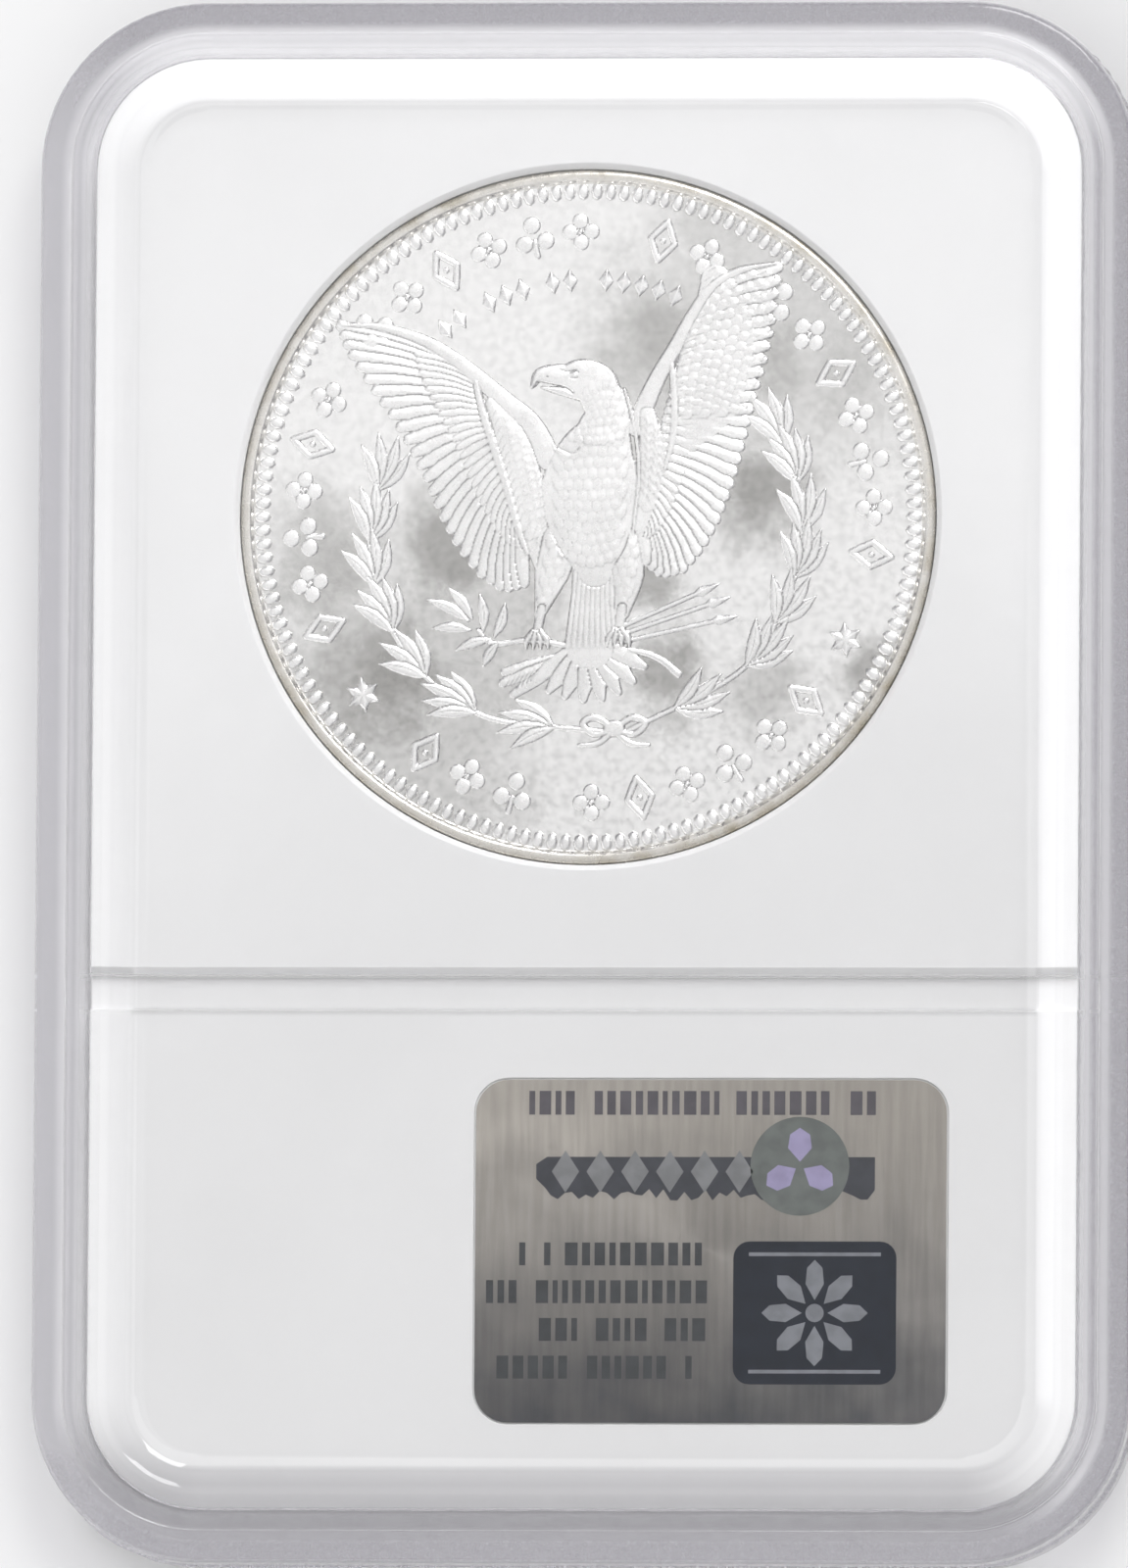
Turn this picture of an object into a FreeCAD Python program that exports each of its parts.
import FreeCAD, Part
import os

# Graded coin slab: two clear shells welded around a white core that grips a coin.
# The slab lies on its label side, so +Z points out of its back, +Y points to the coin
# end and -Y to the label end.  The origin is the centre of the underside.  Millimetres.

Vector = FreeCAD.Vector

# Outline of the whole slab
SLAB_WIDTH = 60.3
SLAB_LENGTH = 85.7
SLAB_THICKNESS = 7.9
CORNER_RADIUS = 9.3

# Shells.  An inset is a distance inwards from the slab's outline.
WALL_INSET = 0.15
WALL_THICKNESS = 2.95
WINDOW_INSET = 5.45
WINDOW_THICKNESS = 1.5
BEVEL_WIDTH = 1.3
EDGE_RADIUS = 0.5
RIM_EDGE_RADIUS = 0.2

# Back: a step all round its raised rim.  Front: a lip that drops into that step.
BACK_WINDOW_DEPTH = 0.9
BACK_STEP_WIDTH = 1.9
BACK_STEP_HEIGHT = 0.45
FRONT_WINDOW_DEPTH = 1.0
FRONT_LIP_WIDTH = 1.7
FRONT_LIP_HEIGHT = 0.4

# Divider rib inside each shell, between the coin and the label
RIB_CENTRE_Y = -11.5
RIB_WIDTH = 1.9
RIB_DEPTH = 0.7
RIB_CLEARANCE = 0.05

# Weld seam: plastic that melted out of the joint and set again, in fine teeth
SEAM_HEIGHT = 0.5
SEAM_WIDTH = 1.5
TOOTH_COUNT = 212
TOOTH_DEPTH = 0.12

# Coin
COIN_DIAMETER = 38.1
COIN_THICKNESS = 2.4
COIN_CENTRE = (0.0, 14.6)
COIN_RIM_WIDTH = 0.75
COIN_RIM_HEIGHT = 0.2
REED_COUNT = 189
REED_DEPTH = 0.12

# Core
CORE_CLEARANCE = 0.05
SEAT_CHAMFER = 0.3

# Grade label (front) and foil seal (back), each in a shallow recess of the core
LABEL_SIZE = (47.4, 22.0)
LABEL_CENTRE = (0.0, -25.1)
LABEL_THICKNESS = 0.2
LABEL_CORNER_RADIUS = 1.0
SEAL_SIZE = (25.7, 18.7)
SEAL_CENTRE = (7.0, -25.6)
SEAL_THICKNESS = 0.12
SEAL_CORNER_RADIUS = 1.8
RECESS_CLEARANCE = 0.1

# Levels worked out from the sizes above
PARTING_Z = SLAB_THICKNESS / 2
CORE_BOTTOM_Z = FRONT_WINDOW_DEPTH + WINDOW_THICKNESS
CORE_TOP_Z = SLAB_THICKNESS - BACK_WINDOW_DEPTH - WINDOW_THICKNESS
CAVITY_INSET = WALL_INSET + WALL_THICKNESS
OVERCUT = 1.0
MATCH = 1e-4


def rounded_outline(width, length, radius, z, centre=(0.0, 0.0)):
    """Closed wire of a rounded rectangle at height z."""
    middle_x, middle_y = centre
    half_x = width / 2
    half_y = length / 2
    corner = radius * (1 - 0.5 ** 0.5)

    def point(x, y):
        return Vector(middle_x + x, middle_y + y, z)

    edges = []
    for sign_x, sign_y in ((1, 1), (-1, 1), (-1, -1), (1, -1)):
        beside = point(sign_x * half_x, sign_y * (half_y - radius))
        middle = point(sign_x * (half_x - corner), sign_y * (half_y - corner))
        above = point(sign_x * (half_x - radius), sign_y * half_y)
        ends = (beside, above) if sign_x == sign_y else (above, beside)
        edges.append(Part.Arc(ends[0], middle, ends[1]))
    shapes = []
    for index, arc in enumerate(edges):
        following = edges[(index + 1) % len(edges)]
        shapes.append(arc.toShape())
        shapes.append(Part.LineSegment(arc.EndPoint, following.StartPoint).toShape())
    return Part.Wire(shapes)


def inset_outline(inset, z):
    """The slab's outline at height z, moved inwards by inset."""
    width = SLAB_WIDTH - 2 * inset
    length = SLAB_LENGTH - 2 * inset
    return rounded_outline(width, length, CORNER_RADIUS - inset, z)


def prism(wire, height):
    return Part.Face(wire).extrude(Vector(0, 0, height))


def inset_prism(inset, z_low, z_high):
    return prism(inset_outline(inset, z_low), z_high - z_low)


def sheet(size, centre, radius, z_low, thickness, grow=0.0):
    """A flat piece with rounded corners, grown all round by grow."""
    width = size[0] + 2 * grow
    length = size[1] + 2 * grow
    return prism(rounded_outline(width, length, radius + grow, z_low, centre), thickness)


def inset_of(point):
    """How far a point lies inside the slab's outline."""
    past_x = abs(point.X) - (SLAB_WIDTH / 2 - CORNER_RADIUS)
    past_y = abs(point.Y) - (SLAB_LENGTH / 2 - CORNER_RADIUS)
    outside = Vector(max(past_x, 0), max(past_y, 0), 0).Length
    return CORNER_RADIUS - outside - min(max(past_x, past_y), 0)


def edges_at(shape, inset, z):
    """The edges of shape that follow the outline at this inset and height."""
    found = []
    for edge in shape.Edges:
        ends = edge.Vertexes
        level = all(abs(end.Z - z) < MATCH for end in ends)
        if level and all(abs(inset_of(end) - inset) < MATCH for end in ends):
            found.append(edge)
    return found


def rib(z_low, z_high, grow=0.0):
    """The divider bar, right across the cavity."""
    width = SLAB_WIDTH - 2 * CAVITY_INSET
    depth = RIB_WIDTH + 2 * grow
    corner = Vector(-width / 2, RIB_CENTRE_Y - depth / 2, z_low)
    return Part.makeBox(width, depth, z_high - z_low, corner)


def window_recess(rim_z, window_z):
    """The hollow inside the rim: a flat window with bevelled sides."""
    slope = BEVEL_WIDTH / (rim_z - window_z)
    top_z = rim_z + OVERCUT
    top_inset = WINDOW_INSET - slope * (top_z - window_z)
    floor = inset_outline(WINDOW_INSET, window_z)
    mouth = inset_outline(top_inset, top_z)
    return Part.makeLoft([floor, mouth], True, True)


def hollowed(blank, plate_z):
    """Cuts the cavity and the seam's rebate out of a shell, and adds its rib."""
    cavity = inset_prism(CAVITY_INSET, PARTING_Z - OVERCUT, plate_z)
    seam_top = PARTING_Z + SEAM_HEIGHT / 2
    seam_band = inset_prism(-OVERCUT, PARTING_Z - OVERCUT, seam_top)
    seam_core = inset_prism(SEAM_WIDTH, PARTING_Z - OVERCUT, seam_top)
    rebate = seam_band.cut(seam_core)
    divider = rib(plate_z - RIB_DEPTH, plate_z)
    return blank.cut(cavity).cut(rebate).fuse(divider).removeSplitter()


def make_back_shell():
    rim_z = SLAB_THICKNESS
    step_z = rim_z - BACK_STEP_HEIGHT
    base = inset_prism(WALL_INSET, PARTING_Z, step_z)
    base = base.makeFillet(EDGE_RADIUS, edges_at(base, WALL_INSET, step_z))
    rim = inset_prism(BACK_STEP_WIDTH, PARTING_Z, rim_z)
    rim = rim.makeFillet(RIM_EDGE_RADIUS, edges_at(rim, BACK_STEP_WIDTH, rim_z))
    blank = base.fuse(rim).cut(window_recess(rim_z, rim_z - BACK_WINDOW_DEPTH))
    return hollowed(blank, CORE_TOP_Z)


def make_front_shell():
    """Built face up like the back, then turned over onto the underside."""
    lip_z = SLAB_THICKNESS
    rim_z = lip_z - FRONT_LIP_HEIGHT
    base = inset_prism(WALL_INSET, PARTING_Z, lip_z)
    base = base.makeFillet(EDGE_RADIUS, edges_at(base, WALL_INSET, lip_z))
    inside = inset_prism(FRONT_LIP_WIDTH, rim_z, lip_z + OVERCUT)
    window = window_recess(rim_z, lip_z - FRONT_WINDOW_DEPTH)
    blank = base.cut(inside).cut(window)
    shell = hollowed(blank, SLAB_THICKNESS - CORE_BOTTOM_Z)
    return shell.mirror(Vector(0, 0, PARTING_Z), Vector(0, 0, 1))


def make_weld_seam():
    low_z = PARTING_Z - SEAM_HEIGHT / 2
    tips = inset_outline(0, low_z).discretize(Number=2 * TOOTH_COUNT + 1)
    roots = inset_outline(TOOTH_DEPTH, low_z).discretize(Number=2 * TOOTH_COUNT + 1)
    toothed = [tips[i] if i % 2 == 0 else roots[i] for i in range(2 * TOOTH_COUNT)]
    toothed.append(toothed[0])
    ring = prism(Part.makePolygon(toothed), SEAM_HEIGHT)
    return ring.cut(inset_prism(SEAM_WIDTH, low_z - OVERCUT, low_z + SEAM_HEIGHT + OVERCUT))


def make_coin():
    """A disc with a raised rim on both faces and a reeded edge."""
    radius = COIN_DIAMETER / 2
    centre = Vector(*COIN_CENTRE, (CORE_BOTTOM_Z + CORE_TOP_Z - COIN_THICKNESS) / 2)
    circle = Part.Wire(Part.makeCircle(radius, centre))
    inner = Part.Wire(Part.makeCircle(radius - REED_DEPTH, centre))
    tips = circle.discretize(Number=2 * REED_COUNT + 1)
    roots = inner.discretize(Number=2 * REED_COUNT + 1)
    reeded = [tips[i] if i % 2 == 0 else roots[i] for i in range(2 * REED_COUNT)]
    reeded.append(reeded[0])
    coin = prism(Part.makePolygon(reeded), COIN_THICKNESS)
    for field_z in (centre.z, centre.z + COIN_THICKNESS - COIN_RIM_HEIGHT):
        field = Vector(centre.x, centre.y, field_z)
        dish = Part.makeCylinder(radius - COIN_RIM_WIDTH, COIN_RIM_HEIGHT, field)
        coin = coin.cut(dish)
    return coin


def make_coin_core():
    """White insert with a seat that grips the coin, grooves for the ribs and two recesses."""
    core = inset_prism(CAVITY_INSET + CORE_CLEARANCE, CORE_BOTTOM_Z, CORE_TOP_Z)
    radius = COIN_DIAMETER / 2
    height = CORE_TOP_Z - CORE_BOTTOM_Z
    seat = Part.makeCylinder(radius, height, Vector(*COIN_CENTRE, CORE_BOTTOM_Z))
    core = core.cut(seat)
    flare = radius + SEAT_CHAMFER
    lower = Vector(*COIN_CENTRE, CORE_BOTTOM_Z)
    upper = Vector(*COIN_CENTRE, CORE_TOP_Z - SEAT_CHAMFER)
    core = core.cut(Part.makeCone(flare, radius, SEAT_CHAMFER, lower))
    core = core.cut(Part.makeCone(radius, flare, SEAT_CHAMFER, upper))
    groove_depth = RIB_DEPTH + RIB_CLEARANCE
    core = core.cut(rib(CORE_TOP_Z - groove_depth, CORE_TOP_Z, RIB_CLEARANCE))
    core = core.cut(rib(CORE_BOTTOM_Z, CORE_BOTTOM_Z + groove_depth, RIB_CLEARANCE))
    core = core.cut(make_grade_label(RECESS_CLEARANCE))
    return core.cut(make_foil_seal(RECESS_CLEARANCE))


def make_grade_label(grow=0.0):
    return sheet(LABEL_SIZE, LABEL_CENTRE, LABEL_CORNER_RADIUS, CORE_BOTTOM_Z, LABEL_THICKNESS, grow)


def make_foil_seal(grow=0.0):
    low_z = CORE_TOP_Z - SEAL_THICKNESS
    return sheet(SEAL_SIZE, SEAL_CENTRE, SEAL_CORNER_RADIUS, low_z, SEAL_THICKNESS, grow)


NODES = {
    "front_shell": make_front_shell,
    "back_shell": make_back_shell,
    "weld_seam": make_weld_seam,
    "coin_core": make_coin_core,
    "coin": make_coin,
    "grade_label": make_grade_label,
    "foil_seal": make_foil_seal,
}

os.makedirs("parts", exist_ok=True)
for name, make in NODES.items():
    shape = make()
    if not shape.isValid() or len(shape.Solids) != 1:
        raise RuntimeError(f"{name} is not one valid solid")
    solid = shape.Solids[0]
    solid.exportStep(f"parts/{name}.step")
    box = solid.BoundBox
    print(
        f"{name:12s} {solid.Volume:9.1f} mm3",
        f"x {box.XMin:.2f}..{box.XMax:.2f}",
        f"y {box.YMin:.2f}..{box.YMax:.2f}",
        f"z {box.ZMin:.2f}..{box.ZMax:.2f}",
    )
